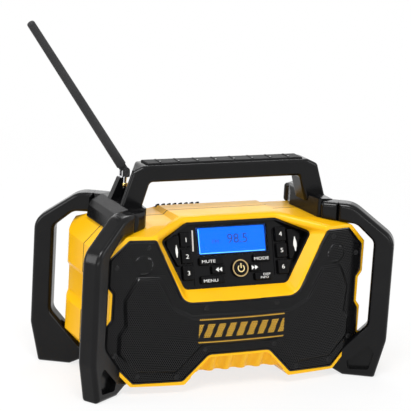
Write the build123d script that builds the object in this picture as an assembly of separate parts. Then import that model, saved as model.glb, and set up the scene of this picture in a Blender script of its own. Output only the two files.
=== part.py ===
from build123d import *
import math
import os

os.makedirs("parts", exist_ok=True)

# A jobsite radio in a roll cage. Millimetres. X is to the right seen from the front,
# Y runs from the front to the rear, Z is up. The origin is the centre of the four feet
# on the ground, so the cage is symmetrical about X = 0 and about Y = 0.

# ---------------------------------------------------------------- driving dimensions
HALF_WIDTH = 159.0          # housing, at its widest
FRONT_Y = -80.6             # housing front at the centre line
REAR_Y = 64.0               # flat back
BOW_RADIUS = 700.0          # the front is bowed about a vertical axis
REAR_CORNER = 22.0          # plan radius of the two rear corners
FRONT_CORNER = 4.0
TOP_Z = 188.0               # crest of the raised middle, at its rear edge
SHOULDER_Z = 184.0          # the top on either side of it
SHELL = 3.0                 # wall of the two housings
SEAL = 1.5                  # thickness of the rubber seal between the housings
SEAL_WIDTH = 2.6
RIM = 2.2                   # depth of the grille's seat in the front face

WAIST_X = 152.3             # side walls pull in between these heights
WAIST_LOW, WAIST_HIGH = 87.0, 115.5
BELLY_Z = 20.5              # underside between the two speaker lobes
LOBE_Z = 10.0               # underside of the lobes

GRILLE_THICK = 1.4
GRILLE_GAP = 0.3
SPEAKER_X, SPEAKER_Z = 105.0, 79.0
SPEAKER_R = 45.0            # flange radius
CONE_R = 33.0
TWEETER_X, TWEETER_Z, TWEETER_R = 117.0, 147.0, 13.0

PANEL_TILT = 20.4           # degrees back from upright
PANEL_LOW_Y, PANEL_LOW_Z = -62.3, 114.1
PANEL_HIGH_Z = 183.4
PANEL_THICK = 3.0
PANEL_RADII = [8.0, 5.0, 5.0, 5.0, 5.0, 8.0]        # corners of its outline, from the lower right
FLARE_RADII = [8.0, 6.0, 5.0]       # of the flare round it: lower, side and upper corners
LIP_R = 5.0                 # where the flare meets the outside
LEDGE = 2.4                 # the panel rests on a ledge along its lower and upper edge
KEY_GAP = 0.4               # round each key in its hole
KEY_FLANGE = 1.2            # the flange behind the panel is this much wider than the cap
KEY_PROUD = 4.0
KEY_TRAVEL = 1.0
LCD_SIZE = (82.0, 29.0)
LCD_V = 52.2                # height of the display's middle up the sloping panel
POWER_U, POWER_V, POWER_R = 5.5, 19.8, 7.6

BAR_ANGLE = 32.6            # the corner bars splay this many degrees in plan
BAR_NEAR, BAR_FAR = 87.4, 109.8     # the slab that a bar lies in, across its own plane
BAR_SEAM = 90.0             # where a bar meets its saddle, along its own plane
CAGE_ORIGIN_Y = -83.0
BAR_ROUND = 5.0

HANDLE_FRONT, HANDLE_REAR = -21.0, 7.0
HANDLE_TOP = 245.0
HANDLE_UNDER = 226.0

ANTENNA_X, ANTENNA_Y, ANTENNA_Z = -109.0, 14.0, 233.0   # fold pin
ANTENNA_LEAN = 35.2         # degrees from upright, outwards
ANTENNA_LENGTH = 203.0
ANTENNA_R0, ANTENNA_R1 = 5.5, 4.4
PIN_R, PIN_BORE = 1.5, 1.55

BAY_HALF, BAY_LOW, BAY_HIGH = 47.0, 48.0, 138.0
BAY_FLOOR_Y = 20.0
BOARD_Y = 8.0               # the main board stands in front of the battery bay
PORT_X0, PORT_X1, PORT_Z0, PORT_Z1 = 60.0, 124.0, 42.0, 70.0
DC_X, AUX_X, USB_X, PORT_Z = 72.0, 88.0, 108.0, 57.0
HINGE_Y, HINGE_Z = REAR_Y + 4.6, 46.0       # of the socket cover
REAR_SCREWS = [(49.0, 46.5), (-49.0, 46.5), (49.0, 139.5), (-49.0, 139.5), (64.5, 65.5), (64.5, 46.5)]
VENT_X0, VENT_X1, VENT_Y = -64.0, -7.0, 29.5        # on the slope behind the crest
VENT_RIBS, VENT_PITCH = 8, 7.0


# ---------------------------------------------------------------- helpers
def save(name, *solids):
    """Write one node; several solids make a group."""
    whole = solids[0] if len(solids) == 1 else Compound(list(solids))
    export_step(whole, f"parts/{name}.step")


def mirrored(points):
    """Close a right-hand half outline, given from top to bottom, about X = 0."""
    return list(points) + [(-x, z) for x, z in reversed(points)]


def rounded(points, radius):
    """A closed outline with rounded corners, on the XY plane."""
    return make_face(FilletPolyline(*points, radius=radius, close=True))


def plain(points):
    return make_face(Polyline(*points, close=True))


def along_y(face, y0, y1):
    """A face drawn in (x, z), as a prism from y0 to y1."""
    return extrude(Plane((0, y1, 0), x_dir=(1, 0, 0), z_dir=(0, -1, 0)) * face, amount=y1 - y0)


def along_x(face, x0, x1):
    """A face drawn in (y, z), as a prism from x0 to x1."""
    return extrude(Plane((x0, 0, 0), x_dir=(0, 1, 0), z_dir=(1, 0, 0)) * face, amount=x1 - x0)


def along_z(face, z0, z1):
    return extrude(Pos(0, 0, z0) * face, amount=z1 - z0)


def block(x0, x1, y0, y1, z0, z1):
    return Pos((x0 + x1) / 2, (y0 + y1) / 2, (z0 + z1) / 2) * Box(x1 - x0, y1 - y0, z1 - z0)


def rod(start, end, radius):
    """A round bar between two points."""
    line = Vector(*end) - Vector(*start)
    return extrude(Plane(origin=start, z_dir=line) * Circle(radius), amount=line.length)


def both_sides(solid):
    return [solid, mirror(solid, about=Plane.YZ)]


def screw_room(head, tip, head_r, shank_r, head_h=2.4):
    """What a screw takes up: the head's seat is at head, the shank ends at tip."""
    back = Vector(*head) - (Vector(*tip) - Vector(*head)).normalized() * head_h
    return rod(tuple(back), head, head_r) + rod(head, tip, shank_r)


def open_room(head, tip, head_r, shank_r):
    """Room for a screw whose head is put in through a deep counterbore."""
    return screw_room(head, tip, head_r, shank_r, 12.0)


def screw(head, tip, head_r, shank_r, head_h=2.4):
    """A screw with a hexagonal recess in its flat head."""
    line = Vector(*tip) - Vector(*head)
    back = Vector(*head) - line.normalized() * head_h
    recess = Plane(origin=back, z_dir=line) * RegularPolygon(head_r * 0.5, 6)
    return screw_room(head, tip, head_r, shank_r, head_h) - extrude(recess, amount=head_h * 0.55)


# ---------------------------------------------------------------- housing form
BODY_HALF = [
    (90, 185), (137, 178.6), (162, 153.2), (162, 127), (WAIST_X, WAIST_HIGH),
    (WAIST_X, WAIST_LOW), (162, 76), (162, 48.5), (125, LOBE_Z), (64, LOBE_Z), (54, BELLY_Z),
]
CREST_Y, REAR_TOP_Z = 24.0, 170.0
SHOULDER_PROFILE = [
    (-95, 0), (-95, 174.4), (-45, SHOULDER_Z), (30, SHOULDER_Z), (REAR_Y, REAR_TOP_Z), (REAR_Y, 0),
]
CROWN_PROFILE = [(-95, 0), (-95, 174.4), (-30, 189.4), (CREST_Y, TOP_Z), (REAR_Y, REAR_TOP_Z), (REAR_Y, 0)]
# the crown's flanks, each by three points: the strip along the top, and the panel's surround
CROWN_STRIP = [(61, 40, 188), (61, -30, 189.4), (66, 0, 184)]
CROWN_FAN = [(64, -33, 188.7), (104, -66, 181.1), (69.1, -28.9, 184)]
GRILLE_HALF = [
    (68.7, 104), (104, 175.7), (134, 175.4), (154.5, 154), (155, 123.5), (149, 116),
    (149.3, 86.5), (155, 78.5), (156, 47), (122.5, 13), (66, 14), (37, 43.2),
]
GRILLE_RADII = [16, 4.6, 3.5, 3.5, 3.5, 3.5, 3.5, 3.5, 3.5, 3.5, 6, 9]


def bow_y(x, inset=0.0):
    """Depth of the bowed front at x, this far behind the front face."""
    radius = BOW_RADIUS - inset
    return FRONT_Y + BOW_RADIUS - math.sqrt(radius * radius - x * x)


def plan_face(side, front, rear):
    """The housing seen from above, drawn in by these amounts."""
    w = HALF_WIDTH - side
    y_side = bow_y(w, front)
    y_rear = REAR_Y - rear
    arc = ThreePointArc((-w, y_side), (0, FRONT_Y + front), (w, y_side))
    back = Polyline((w, y_side), (w, y_rear), (-w, y_rear), (-w, y_side))
    face = make_face(Curve() + [arc, back])
    face = fillet(face.vertices().sort_by(Axis.Y)[-2:], REAR_CORNER - side)
    return fillet(face.vertices().sort_by(Axis.Y)[:2], max(FRONT_CORNER - side, 1.0))


def half_space(p, q, r, inside, grow):
    """The side of the plane through three points that holds the inside point."""
    p, q, r, inside = Vector(*p), Vector(*q), Vector(*r), Vector(*inside)
    normal = (q - p).cross(r - p).normalized()
    if normal.dot(inside - p) < 0:
        normal = normal * -1
    start = Plane(origin=p - normal * grow, z_dir=normal)
    return extrude(start * Rectangle(900, 900), amount=400)


def wedge(p, q, r, inside, grow):
    """Between the plane through three points and its mirror image about X = 0."""
    flipped = [(-x, y, z) for x, y, z in (p, q, r)]
    return half_space(p, q, r, inside, grow) & half_space(*flipped, inside, grow)


def side_prism(profile, inset):
    face = plain(profile)
    if inset:
        face = offset(face, amount=-inset, kind=Kind.INTERSECTION)
    return along_x(face, -170, 170)


def crown(side, front, rear):
    """The raised middle of the top: a strip that fans out round the control panel."""
    middle = (0, -60, 150)
    fan = wedge(*CROWN_STRIP, middle, -side) + wedge(*CROWN_FAN, middle, -side)
    form = block(-126, 126, -100, REAR_Y, 168, 200) & side_prism(CROWN_PROFILE, side)
    return form & along_z(plan_face(side, front, rear), 0, 200) & fan


def body_block(side=0.0, front=0.0, rear=0.0):
    """The closed outer form of the housing, or with insets the room inside it."""
    outline = rounded(mirrored(BODY_HALF), 3.0)
    if side > 0:
        outline = offset(outline, amount=-side, kind=Kind.INTERSECTION)
    form = along_y(outline, -100, 100)
    form = form & along_z(plan_face(side, front, rear), 0, 200)
    return (form & side_prism(SHOULDER_PROFILE, side)) + crown(side, front, rear)


def grille_outline(grow=0.0):
    face = rounded(mirrored(GRILLE_HALF), GRILLE_RADII + GRILLE_RADII[::-1])
    if grow:
        face = offset(face, amount=grow)
    return face


def bow_band(near, far):
    """A bowed sheet between two depths behind the front face."""
    w = 170.0
    outer = ThreePointArc((-w, bow_y(w, near)), (0, FRONT_Y + near), (w, bow_y(w, near)))
    inner = ThreePointArc((w, bow_y(w, far)), (0, FRONT_Y + far), (-w, bow_y(w, far)))
    ends = [Line(outer @ 1, inner @ 0), Line(inner @ 1, outer @ 0)]
    return along_z(make_face(Curve() + [outer, inner] + ends), 0, 200)


# the sloping control panel: u across, v up the slope, w out of it
TILT = math.radians(PANEL_TILT)
PANEL = Plane(
    origin=(0, PANEL_LOW_Y, PANEL_LOW_Z),
    x_dir=(1, 0, 0),
    z_dir=(0, -math.cos(TILT), math.sin(TILT)),
)
PANEL_FRONT = [
    (62.8, PANEL_LOW_Z), (92.3, 170.0), (54.5, PANEL_HIGH_Z),
    (-54.5, PANEL_HIGH_Z), (-92.3, 170.0), (-62.8, PANEL_LOW_Z),
]


def on_panel(face, w0, w1):
    """A face drawn in (u, v), as a prism between two heights out of the panel."""
    return extrude(PANEL * (Pos(0, 0, w0) * face), amount=w1 - w0)


def panel_box(u, v, width, height, w0, w1, corner=0.0):
    face = Rectangle(width, height)
    if corner:
        face = fillet(face.vertices(), corner)
    return on_panel(Pos(u, v) * face, w0, w1)


# ---------------------------------------------------------------- housings
def speaker_plane(side, depth=0.0):
    """On the bowed front at a speaker, facing out, this far behind the seat."""
    lean = math.asin(SPEAKER_X / BOW_RADIUS)
    out = Vector(side * math.sin(lean), -math.cos(lean), 0)
    seat = Vector(side * SPEAKER_X, bow_y(SPEAKER_X, RIM + SHELL + 2.0), SPEAKER_Z)
    return Plane(origin=seat - out * depth, z_dir=out, x_dir=(out.Y * -1, out.X, 0))


def tweeter_plane(side, depth=0.0):
    lean = math.asin(TWEETER_X / BOW_RADIUS)
    out = Vector(side * math.sin(lean), -math.cos(lean), 0)
    seat = Vector(side * TWEETER_X, bow_y(TWEETER_X, RIM + SHELL + 1.0), TWEETER_Z)
    return Plane(origin=seat - out * depth, z_dir=out, x_dir=(out.Y * -1, out.X, 0))


POSTS = [(62, 30), (56, 92), (141, 151)]
POST_R, SCREW_R, SCREW_HEAD_R = 5.0, 1.9, 3.8
SCREW_SEAT_Y, SCREW_TIP_Y = 30.0, -18.0


SADDLE_SCREW_X, SADDLE_SCREW_Y, SADDLE_SCREW_Z = 112.0, 24.0, 179.0


def saddle_screws(make=screw):
    """Four screws from inside the housing, square to its sloping shoulder, up into the saddles."""
    lean = math.atan2(BODY_HALF[0][1] - BODY_HALF[1][1], BODY_HALF[1][0] - BODY_HALF[0][0])
    out = Vector(math.sin(lean), 0, math.cos(lean))
    found = []
    for y in (-SADDLE_SCREW_Y, SADDLE_SCREW_Y):
        head = Vector(SADDLE_SCREW_X, y, SADDLE_SCREW_Z)
        found = found + both_sides(make(tuple(head), tuple(head + out * 15), SCREW_HEAD_R, SCREW_R))
    return found


# the rim of the panel's well, right half from the bottom, and the flare's reach on the front
RIM_POINTS = [(62.8, -62.3, 114.1), (92.3, -56.1, 170.0), (54.5, -36.5, 183.4)]


def mouth(grow=0.0):
    """The flared recess round the panel: a six-sided funnel, opened out by grow."""
    low, tip, top = RIM_POINTS
    middle = (0, -75, 150)
    funnel = half_space(low, (-low[0], low[1], low[2]), (0, FRONT_Y + 1.5, 104.5), middle, grow)
    funnel = funnel & half_space(top, (-top[0], top[1], top[2]), (0, -37.0, 192), middle, grow)
    funnel = funnel & wedge(low, tip, (85.5, -76.5, 138), middle, grow)
    return funnel & wedge(tip, top, (100, -71.5, 176.5), middle, grow)


def soft_mouth():
    """The flare itself, with its corners rounded."""
    flare = mouth() & on_panel(Rectangle(400, 400), -8, 120)
    for (x, y, z), radius in zip(RIM_POINTS, FLARE_RADII):
        corners = [flare.edges().sort_by_distance(Vertex(side * x, y, z))[0] for side in (1, -1)]
        flare = fillet(corners, radius)
    return flare


def lies_on(form, spot):
    return min(face.distance_to(spot) for face in form.faces()) < 0.05


def soft_lip(outer, flare):
    """The outer form with the flare cut in, its lip rounded: first in front, then on the top."""
    form = outer - flare
    for above in (False, True):
        lip = []
        for edge in form.edges():
            middle = Vertex(*(edge @ 0.5))
            if (edge.center().Z > 180) == above and lies_on(flare, middle) and lies_on(outer, middle):
                lip.append(edge)
        form = fillet(lip, LIP_R)
    return form


# the belly's front edge slopes back under the grille, in five flutes
GRIP_TOP, GRIP_FOOT = (-79.4, 40.6), (-69.0, BELLY_Z)      # (y, z) of the slope
GRIP_MOUTH = [(35.6, 40.6), (57.0, 19.0), (57.0, 0), (-57.0, 0), (-57.0, 19.0), (-35.6, 40.6)]
GRIP_RADII = [8, 3, 1, 1, 3, 8]
FLUTE_PITCH, FLUTE_DEPTH, FLUTES = 19.3, 5.0, 5


def flute_wave():
    """The fluted slope's section: round valleys and crests, closed far out of the slope."""
    quarter, half = FLUTE_PITCH / 4, FLUTE_DEPTH / 2
    crest_r = (quarter * quarter + half * half) / (2 * half)
    turn = quarter / 2
    dip = math.sqrt(crest_r * crest_r - turn * turn) - crest_r
    end = FLUTES * FLUTE_PITCH / 2
    wave = [ThreePointArc((-end, 0), (turn - end, dip), (quarter - end, -half))]
    for i in range(FLUTES):
        x = (i + 0.5) * FLUTE_PITCH - end
        wave.append(ThreePointArc((x - quarter, -half), (x, -FLUTE_DEPTH), (x + quarter, -half)))
        if i < FLUTES - 1:
            x = x + 2 * quarter
            wave.append(ThreePointArc((x - quarter, -half), (x, 0), (x + quarter, -half)))
    wave.append(ThreePointArc((end - quarter, -half), (end - turn, dip), (end, 0)))
    wave.append(Polyline((end, 0), (70, 0), (70, 40), (-70, 40), (-70, 0), (-end, 0)))
    return make_face(Curve() + wave)


def grip_cut():
    """What is cut from the front under the grille: a sloping face with flutes."""
    slope = Vector(0, GRIP_FOOT[0] - GRIP_TOP[0], GRIP_FOOT[1] - GRIP_TOP[1]).normalized()
    start = Plane(origin=Vector(0, *GRIP_TOP) - slope * 6, x_dir=(1, 0, 0), z_dir=slope)
    cut = extrude(start * flute_wave(), amount=60)
    mouth_prism = along_y(rounded(GRIP_MOUTH, GRIP_RADII), -100, 0)
    return cut & mouth_prism


def grip_wall():
    """The wall kept behind the fluted slope."""
    (y0, z0), (y1, z1) = GRIP_TOP, GRIP_FOOT
    back = FLUTE_DEPTH + SHELL + 1
    strip = [
        (y0 - 4, z0 + 4), (y0 + back, z0 + 4), (y1 + back, z1 + 3),
        (y1 + back, z1), (y1, z1 - 3), (y0 - 4, z0 - 4),
    ]
    return along_x(plain(strip), -60, 60)


def make_housings():
    outer = body_block()
    flare = soft_mouth()
    lipped = soft_lip(outer, flare)
    room = body_block(SHELL, RIM + SHELL, SHELL)
    shell = lipped - room
    front = shell & block(-170, 170, -100, -SEAL / 2, 0, 200)
    rear = shell & block(-170, 170, SEAL / 2, 100, 0, 200)

    # grille seat, and the wall behind it
    seat = along_y(grille_outline(GRILLE_GAP), -100, 0) & bow_band(-10, RIM)
    front = front - seat

    # the panel's mouth: a lined well, then the flare
    well = along_y(rounded(PANEL_FRONT, PANEL_RADII), -100, -10)
    sleeve = along_y(offset(rounded(PANEL_FRONT, PANEL_RADII), amount=SHELL), -100, -22)
    lining = (sleeve + mouth(SHELL)) & lipped & on_panel(Rectangle(400, 400), -9, 60)
    ledge_room = block(-100, 100, -100, 0, PANEL_LOW_Z + LEDGE, PANEL_HIGH_Z - LEDGE)
    well_front = well & on_panel(Rectangle(400, 400), -PANEL_THICK, 90)
    front = front + (lining - seat) - (well_front + (well & ledge_room))
    front = front + ((grip_wall() & outer) - seat) - grip_cut()

    # speaker and tweeter mouths with their flat seats
    for side in (1, -1):
        pad = extrude(speaker_plane(side) * (Circle(SPEAKER_R + 1) - Circle(SPEAKER_R - 5)), amount=4)
        front = front + (pad - seat) - extrude(speaker_plane(side) * Circle(SPEAKER_R - 5), amount=14)
        pad = extrude(tweeter_plane(side) * (Circle(TWEETER_R + 1) - Circle(TWEETER_R - 3)), amount=3)
        front = front + (pad - seat) - extrude(tweeter_plane(side) * Circle(TWEETER_R - 3), amount=12)

    # posts for the long screws that hold the housings together
    for x, z in POSTS:
        for post in both_sides(rod((x, bow_y(x, RIM + 1), z), (x, -SEAL / 2, z), POST_R)):
            front = front + ((post & outer) - flare - well)
        for post in both_sides(rod((x, SEAL / 2, z), (x, REAR_Y - 1, z), POST_R)):
            rear = rear + (post & outer)
    for x, z in POSTS:
        for bore in both_sides(rod((x, SCREW_TIP_Y - 2, z), (x, 0, z), SCREW_R + 0.2)):
            front = front - bore
        for bore in both_sides(rod((x, 0, z), (x, REAR_Y, z), SCREW_R + 0.3)):
            rear = rear - bore
        for bore in both_sides(rod((x, SCREW_SEAT_Y, z), (x, REAR_Y + 1, z), SCREW_HEAD_R + 0.4)):
            rear = rear - bore

    # rear openings: battery bay and sockets; the vent's slot in the top
    rear = rear - block(-BAY_HALF, BAY_HALF, 30, 80, BAY_LOW, BAY_HIGH)
    rear = rear - block(PORT_X0 + 2, PORT_X1 - 2, 30, 80, PORT_Z0 + 2, PORT_Z1 - 2)
    rear = rear - vent_box(VENT_X0, VENT_X1, 8, -1.5, 4)
    for x, z in REAR_SCREWS:
        rear = rear - rod((x, 50, z), (x, 80, z), 1.7)
    for room in saddle_screws(screw_room):
        front = front - room
        rear = rear - room
    return front, rear, outer


# ---------------------------------------------------------------- roll cage
COS, SIN = math.cos(math.radians(BAR_ANGLE)), math.sin(math.radians(BAR_ANGLE))
# front right bar, drawn in its own upright plane: (out from the middle, height)
BAR_OUTLINE = [
    (90, 201.5), (107, 201.5), (156, 165.8), (156, 45), (145.5, 0), (109, 0), (94, 7.5), (80, 9),
    (80, 22), (97, 23.5), (133, 62), (133, 160), (112, 178.5), (90, 179.5),
]
BAR_RADII = [0.4, 30, 22, 20, 3, 3, 4, 0.4, 0.4, 6, 12, 10, 14, 0.4]
RECESS = [(136.5, 39), (113, 17.5), (115, 8), (138.5, 9.5), (143.5, 30)]
TENON = 12.0                # square peg of the saddle inside each bar
TENON_LENGTH = 10.0
PAD_THICK = 3.0             # rubber sole let into each foot


def bar_plane(across):
    """The front right bar's plane, this far across it."""
    return Plane(
        origin=(across * SIN, CAGE_ORIGIN_Y + across * COS, 0), x_dir=(COS, -SIN, 0), z_dir=(-SIN, -COS, 0)
    )


def bar_prism(face, near, far):
    return extrude(bar_plane(far) * face, amount=far - near)


def soft_bar(outline, radii, near, far, edge):
    """A prism whose outer edges are rounded, all but the two at the seam."""
    face = make_face(FilletPolyline(*outline, radius=radii, close=True))
    prism = bar_prism(face, near, far)
    faces = prism.faces().filter_by(Plane(origin=(0, 0, 0), z_dir=(SIN, COS, 0)))
    seam = Vector(COS * BAR_SEAM, CAGE_ORIGIN_Y - SIN * BAR_SEAM, 0)
    along = Vector(COS, -SIN, 0)
    edges = faces[0].edges() + faces[-1].edges()
    return fillet([one for one in edges if abs((one.center() - seam).dot(along)) > 0.5], edge)


MID = (BAR_NEAR + BAR_FAR) / 2


def cage_screw(make=screw):
    """The screw from below through the front right bar's end and the saddle's peg."""
    at = Vector(COS * (BAR_SEAM + TENON_LENGTH / 2), CAGE_ORIGIN_Y - SIN * (BAR_SEAM + TENON_LENGTH / 2), 0)
    at = at + Vector(SIN, COS, 0) * MID
    return make((at.X, at.Y, 186.0), (at.X, at.Y, 198.0), SCREW_HEAD_R, SCREW_R)


def make_bar(outer):
    """The front right corner bar and its rubber sole."""
    bar = soft_bar(BAR_OUTLINE, BAR_RADII, BAR_NEAR, BAR_FAR, BAR_ROUND)
    bar = bar & block(0, 300, -200, 200, 0, 300)
    bar = bar - outer
    socket = bar_prism(
        Pos(BAR_SEAM + TENON_LENGTH / 2, 190.5) * Rectangle(TENON_LENGTH + 0.4, TENON + 0.4),
        MID - TENON / 2 - 0.2, MID + TENON / 2 + 0.2)
    bar = bar - socket - cage_screw(screw_room)
    at = cage_screw().center()
    bar = bar - rod((at.X, at.Y, 170), (at.X, at.Y, 184), SCREW_HEAD_R + 0.2)
    pocket = make_face(FilletPolyline(*RECESS, radius=3.0, close=True))
    bar = bar - bar_prism(pocket, BAR_NEAR - 1, BAR_NEAR + 7)
    sole = bar_prism(Pos(127.5, PAD_THICK / 2) * Rectangle(25, PAD_THICK), BAR_NEAR + 5, BAR_FAR - 5)
    bar = bar - sole
    return bar, sole


SADDLE_SECTION = [
    (100, 176), (143, 176), (141, 190), (137.5, 196), (125, 202), (109, 204.5), (103.5, 203.5), (100, 199),
]
SADDLE_PLAN = [(105.5, -46), (100, 16), (106.5, 33), (112, 36), (145, 36), (145, -36), (120, -40)]


def make_saddle(outer):
    """The right saddle: a crosswise block with a diagonal stub to each bar."""
    middle = along_y(rounded(SADDLE_SECTION, 2.0), -48, 36) & along_z(rounded(SADDLE_PLAN, 3.0), 170, 210)
    stub_outline = [(70, 201.5), (BAR_SEAM, 201.5), (BAR_SEAM, 179.5), (70, 179.5)]
    stub = soft_bar(stub_outline, [3, 0.4, 0.4, 3], BAR_NEAR, BAR_FAR, BAR_ROUND)
    tenon = bar_prism(Pos(BAR_SEAM + TENON_LENGTH / 2 - 4, 190.5) * Rectangle(TENON_LENGTH + 8, TENON),
                      MID - TENON / 2, MID + TENON / 2)
    arm = stub + tenon - cage_screw(screw_room)
    saddle = middle + arm + mirror(arm, about=Plane.XZ) - outer
    for room in saddle_screws(screw_room) + handle_screws(open_room):
        saddle = saddle - room
    return saddle


# ---------------------------------------------------------------- handle
HANDLE_OUTLINE = [
    (130.5, 196), (117, 237.5), (101, HANDLE_TOP), (-101, HANDLE_TOP), (-117, 237.5), (-130.5, 196),
    (-101, 196), (-92, HANDLE_UNDER), (92, HANDLE_UNDER), (101, 196),
]
HANDLE_RADII = [1, 9, 9, 9, 9, 1, 1, 5, 5, 1]
LEG_SIDE = [(128, -21, 200), (114, 7, 200), (114.5, -21, 241.5)]    # the legs narrow towards the rear
LEG_REAR_R = 3.0
INSERT_HALF, INSERT_FRONT, INSERT_REAR = 95.0, -17.0, 3.0
INSERT_RIBS, INSERT_PITCH = 8, 22.5


def handle_screws(make=screw):
    """Four screws up through the saddles into the handle's legs, heads sunk in the saddles."""
    found = []
    for x, y in ((113.5, -14.0), (110.5, 0.0)):
        found = found + both_sides(make((x, y, 190), (x - 2.5, y, 212), SCREW_HEAD_R, SCREW_R))
    return found


def make_handle(saddles):
    face = make_face(FilletPolyline(*HANDLE_OUTLINE, radius=HANDLE_RADII, close=True))
    handle = along_y(face, HANDLE_FRONT, HANDLE_REAR)
    ends = handle.faces().filter_by(Axis.Y)
    handle = fillet(ends[0].edges() + ends[-1].edges(), 4.0)
    handle = handle & wedge(*LEG_SIDE, (0, -7, 220), 0)
    upright = [one for one in handle.edges().filter_by(GeomType.LINE) if abs(one.tangent_at(0).Z) > 0.5]
    upright = [one for one in upright if abs(one.center().Y - HANDLE_REAR) < 0.01]
    outermost = max(abs(one.center().X) for one in upright)
    handle = fillet([one for one in upright if abs(one.center().X) > outermost - 0.1], LEG_REAR_R)
    for part in (*saddles, *handle_screws(screw_room)):
        handle = handle - part
    seat = block(-INSERT_HALF, INSERT_HALF, INSERT_FRONT, INSERT_REAR, HANDLE_TOP - 2, HANDLE_TOP + 5)
    insert = block(-INSERT_HALF, INSERT_HALF, INSERT_FRONT, INSERT_REAR, HANDLE_TOP - 2, HANDLE_TOP + 2)
    insert = fillet(insert.edges().group_by(Axis.Z)[-1], 1.5)
    for i in range(INSERT_RIBS):
        x = (i - (INSERT_RIBS - 1) / 2) * INSERT_PITCH
        rib = block(x - 0.9, x + 0.9, INSERT_FRONT + 2.5, INSERT_REAR - 2.5, HANDLE_TOP + 1, HANDLE_TOP + 2.6)
        insert = insert + rib
    return handle - seat, insert


# ---------------------------------------------------------------- antenna
POST_OUTLINE = [
    (-129, 194), (-114.5, 194), (-104.7, 208), (-104.7, 214), (-113.3, 214), (-113.3, 225.7), (-116, 225.7),
]
SWIVEL_R = 3.0
CHEEK_HALF, CHEEK_IN, CHEEK_OUT = 4.4, 3.0, 5.2     # the fork's cheeks, beside and along the pin


def make_antenna(saddle, handle):
    post = along_y(rounded(POST_OUTLINE, 1.0), 9.5, 18.5) - saddle - handle
    post = post - rod((ANTENNA_X, ANTENNA_Y, 205.5), (ANTENNA_X, ANTENNA_Y, 230), SWIVEL_R + 0.05)
    swivel = rod((ANTENNA_X, ANTENNA_Y, 206), (ANTENNA_X, ANTENNA_Y, 227), SWIVEL_R)
    swivel = swivel + rod((ANTENNA_X, ANTENNA_Y, 214.2), (ANTENNA_X, ANTENNA_Y, 219.5), SWIVEL_R + 0.8)
    swivel = swivel + rod((ANTENNA_X, ANTENNA_Y, 226.1), (ANTENNA_X, ANTENNA_Y, 227.4), 5.6)
    for y in (ANTENNA_Y - CHEEK_OUT, ANTENNA_Y + CHEEK_IN):
        back = y + CHEEK_OUT - CHEEK_IN
        cheek = block(ANTENNA_X - CHEEK_HALF, ANTENNA_X + CHEEK_HALF, y, back, 226.5, ANTENNA_Z)
        swivel = swivel + cheek + rod((ANTENNA_X, y, ANTENNA_Z), (ANTENNA_X, back, ANTENNA_Z), CHEEK_HALF)
    swivel = swivel - rod((ANTENNA_X, 0, ANTENNA_Z), (ANTENNA_X, 30, ANTENNA_Z), PIN_R)
    pin_front, pin_rear = ANTENNA_Y - CHEEK_OUT, ANTENNA_Y + CHEEK_OUT
    pin = rod((ANTENNA_X, pin_front, ANTENNA_Z), (ANTENNA_X, pin_rear, ANTENNA_Z), PIN_R)

    lean = math.radians(ANTENNA_LEAN)
    way = Vector(-math.sin(lean), 0, math.cos(lean))
    base = Vector(ANTENNA_X, ANTENNA_Y, ANTENNA_Z)
    neck = rod((ANTENNA_X, ANTENNA_Y - 2.6, ANTENNA_Z), (ANTENNA_X, ANTENNA_Y + 2.6, ANTENNA_Z), 4.6)
    tongue = Plane(origin=base, z_dir=way, x_dir=(0, 1, 0)) * Rectangle(5.2, 8.0)
    neck = neck + extrude(tongue, amount=10)
    root = Plane(origin=base + way * 7.5, z_dir=way)
    whip = loft([
        (root * Circle(ANTENNA_R0)).faces()[0],
        (root.offset(ANTENNA_LENGTH - 7.5) * Circle(ANTENNA_R1)).faces()[0],
    ])
    tip = whip.faces().sort_by(Axis.Z)[-1]
    whip = fillet(tip.edges(), 2.5)
    whip = whip + neck - rod((ANTENNA_X, 0, ANTENNA_Z), (ANTENNA_X, 30, ANTENNA_Z), PIN_BORE)
    return post, swivel, pin, whip


# ---------------------------------------------------------------- control panel
# name: middle u, middle v, width, height
KEYS = {
    "mute_key": (-29.0, 29.8, 29.0, 8.2),
    "skip_back_key": (-21.0, 19.6, 17.0, 8.8),
    "menu_key": (-29.0, 9.4, 29.0, 8.2),
    "mode_key": (33.0, 29.8, 21.0, 8.2),
    "skip_forward_key": (24.5, 19.6, 14.0, 8.8),
    "display_key": (33.0, 9.4, 21.0, 8.2),
}
PRESET_U, PRESET_SIZE = 58.2, (12.6, 16.0)
PRESET_V = [54.9, 36.6, 18.3]
# the right rocker follows the slanting side of the well, in (u, v)
ROCKER_OUTLINE = [(66.6, 26.5), (70.2, 26.5), (81.8, 48.5), (81.8, 55.0), (76.2, 60.0), (66.6, 60.0)]
ROCKER_U, ROCKER_V = 72.5, 44.0
ROCKER_DEPTH = -7.0         # the rocker's axis, behind the panel's face
ROCKER_PROUD = 4.6
COLLAR_R = 10.2
BOARD_TOP, BOARD_THICK = -11.0, 1.6         # the control board, behind the panel's face
STANDOFF_U, STANDOFF_V = 47.7, (9.0, 67.6)


def key_spots():
    spots = {}
    for i in range(3):
        spots[f"preset_key_{i + 1}"] = (-PRESET_U, PRESET_V[i], *PRESET_SIZE)
        spots[f"preset_key_{i + 4}"] = (PRESET_U, PRESET_V[i], *PRESET_SIZE)
    spots.update(KEYS)
    return spots


def make_key(u, v, width, height):
    """A cap that slides in the panel, with a flange and a stem behind it."""
    cap = panel_box(u, v, width, height, -3.2, KEY_PROUD, 1.6)
    cap = fillet(cap.faces().sort_by(Axis.Y)[0].edges(), 0.9)
    flange = panel_box(u, v, width + KEY_FLANGE, height + KEY_FLANGE, -4.6, -3.2)
    return cap + flange + on_panel(Pos(u, v) * Circle(2.0), -6.4, -4.0)


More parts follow.
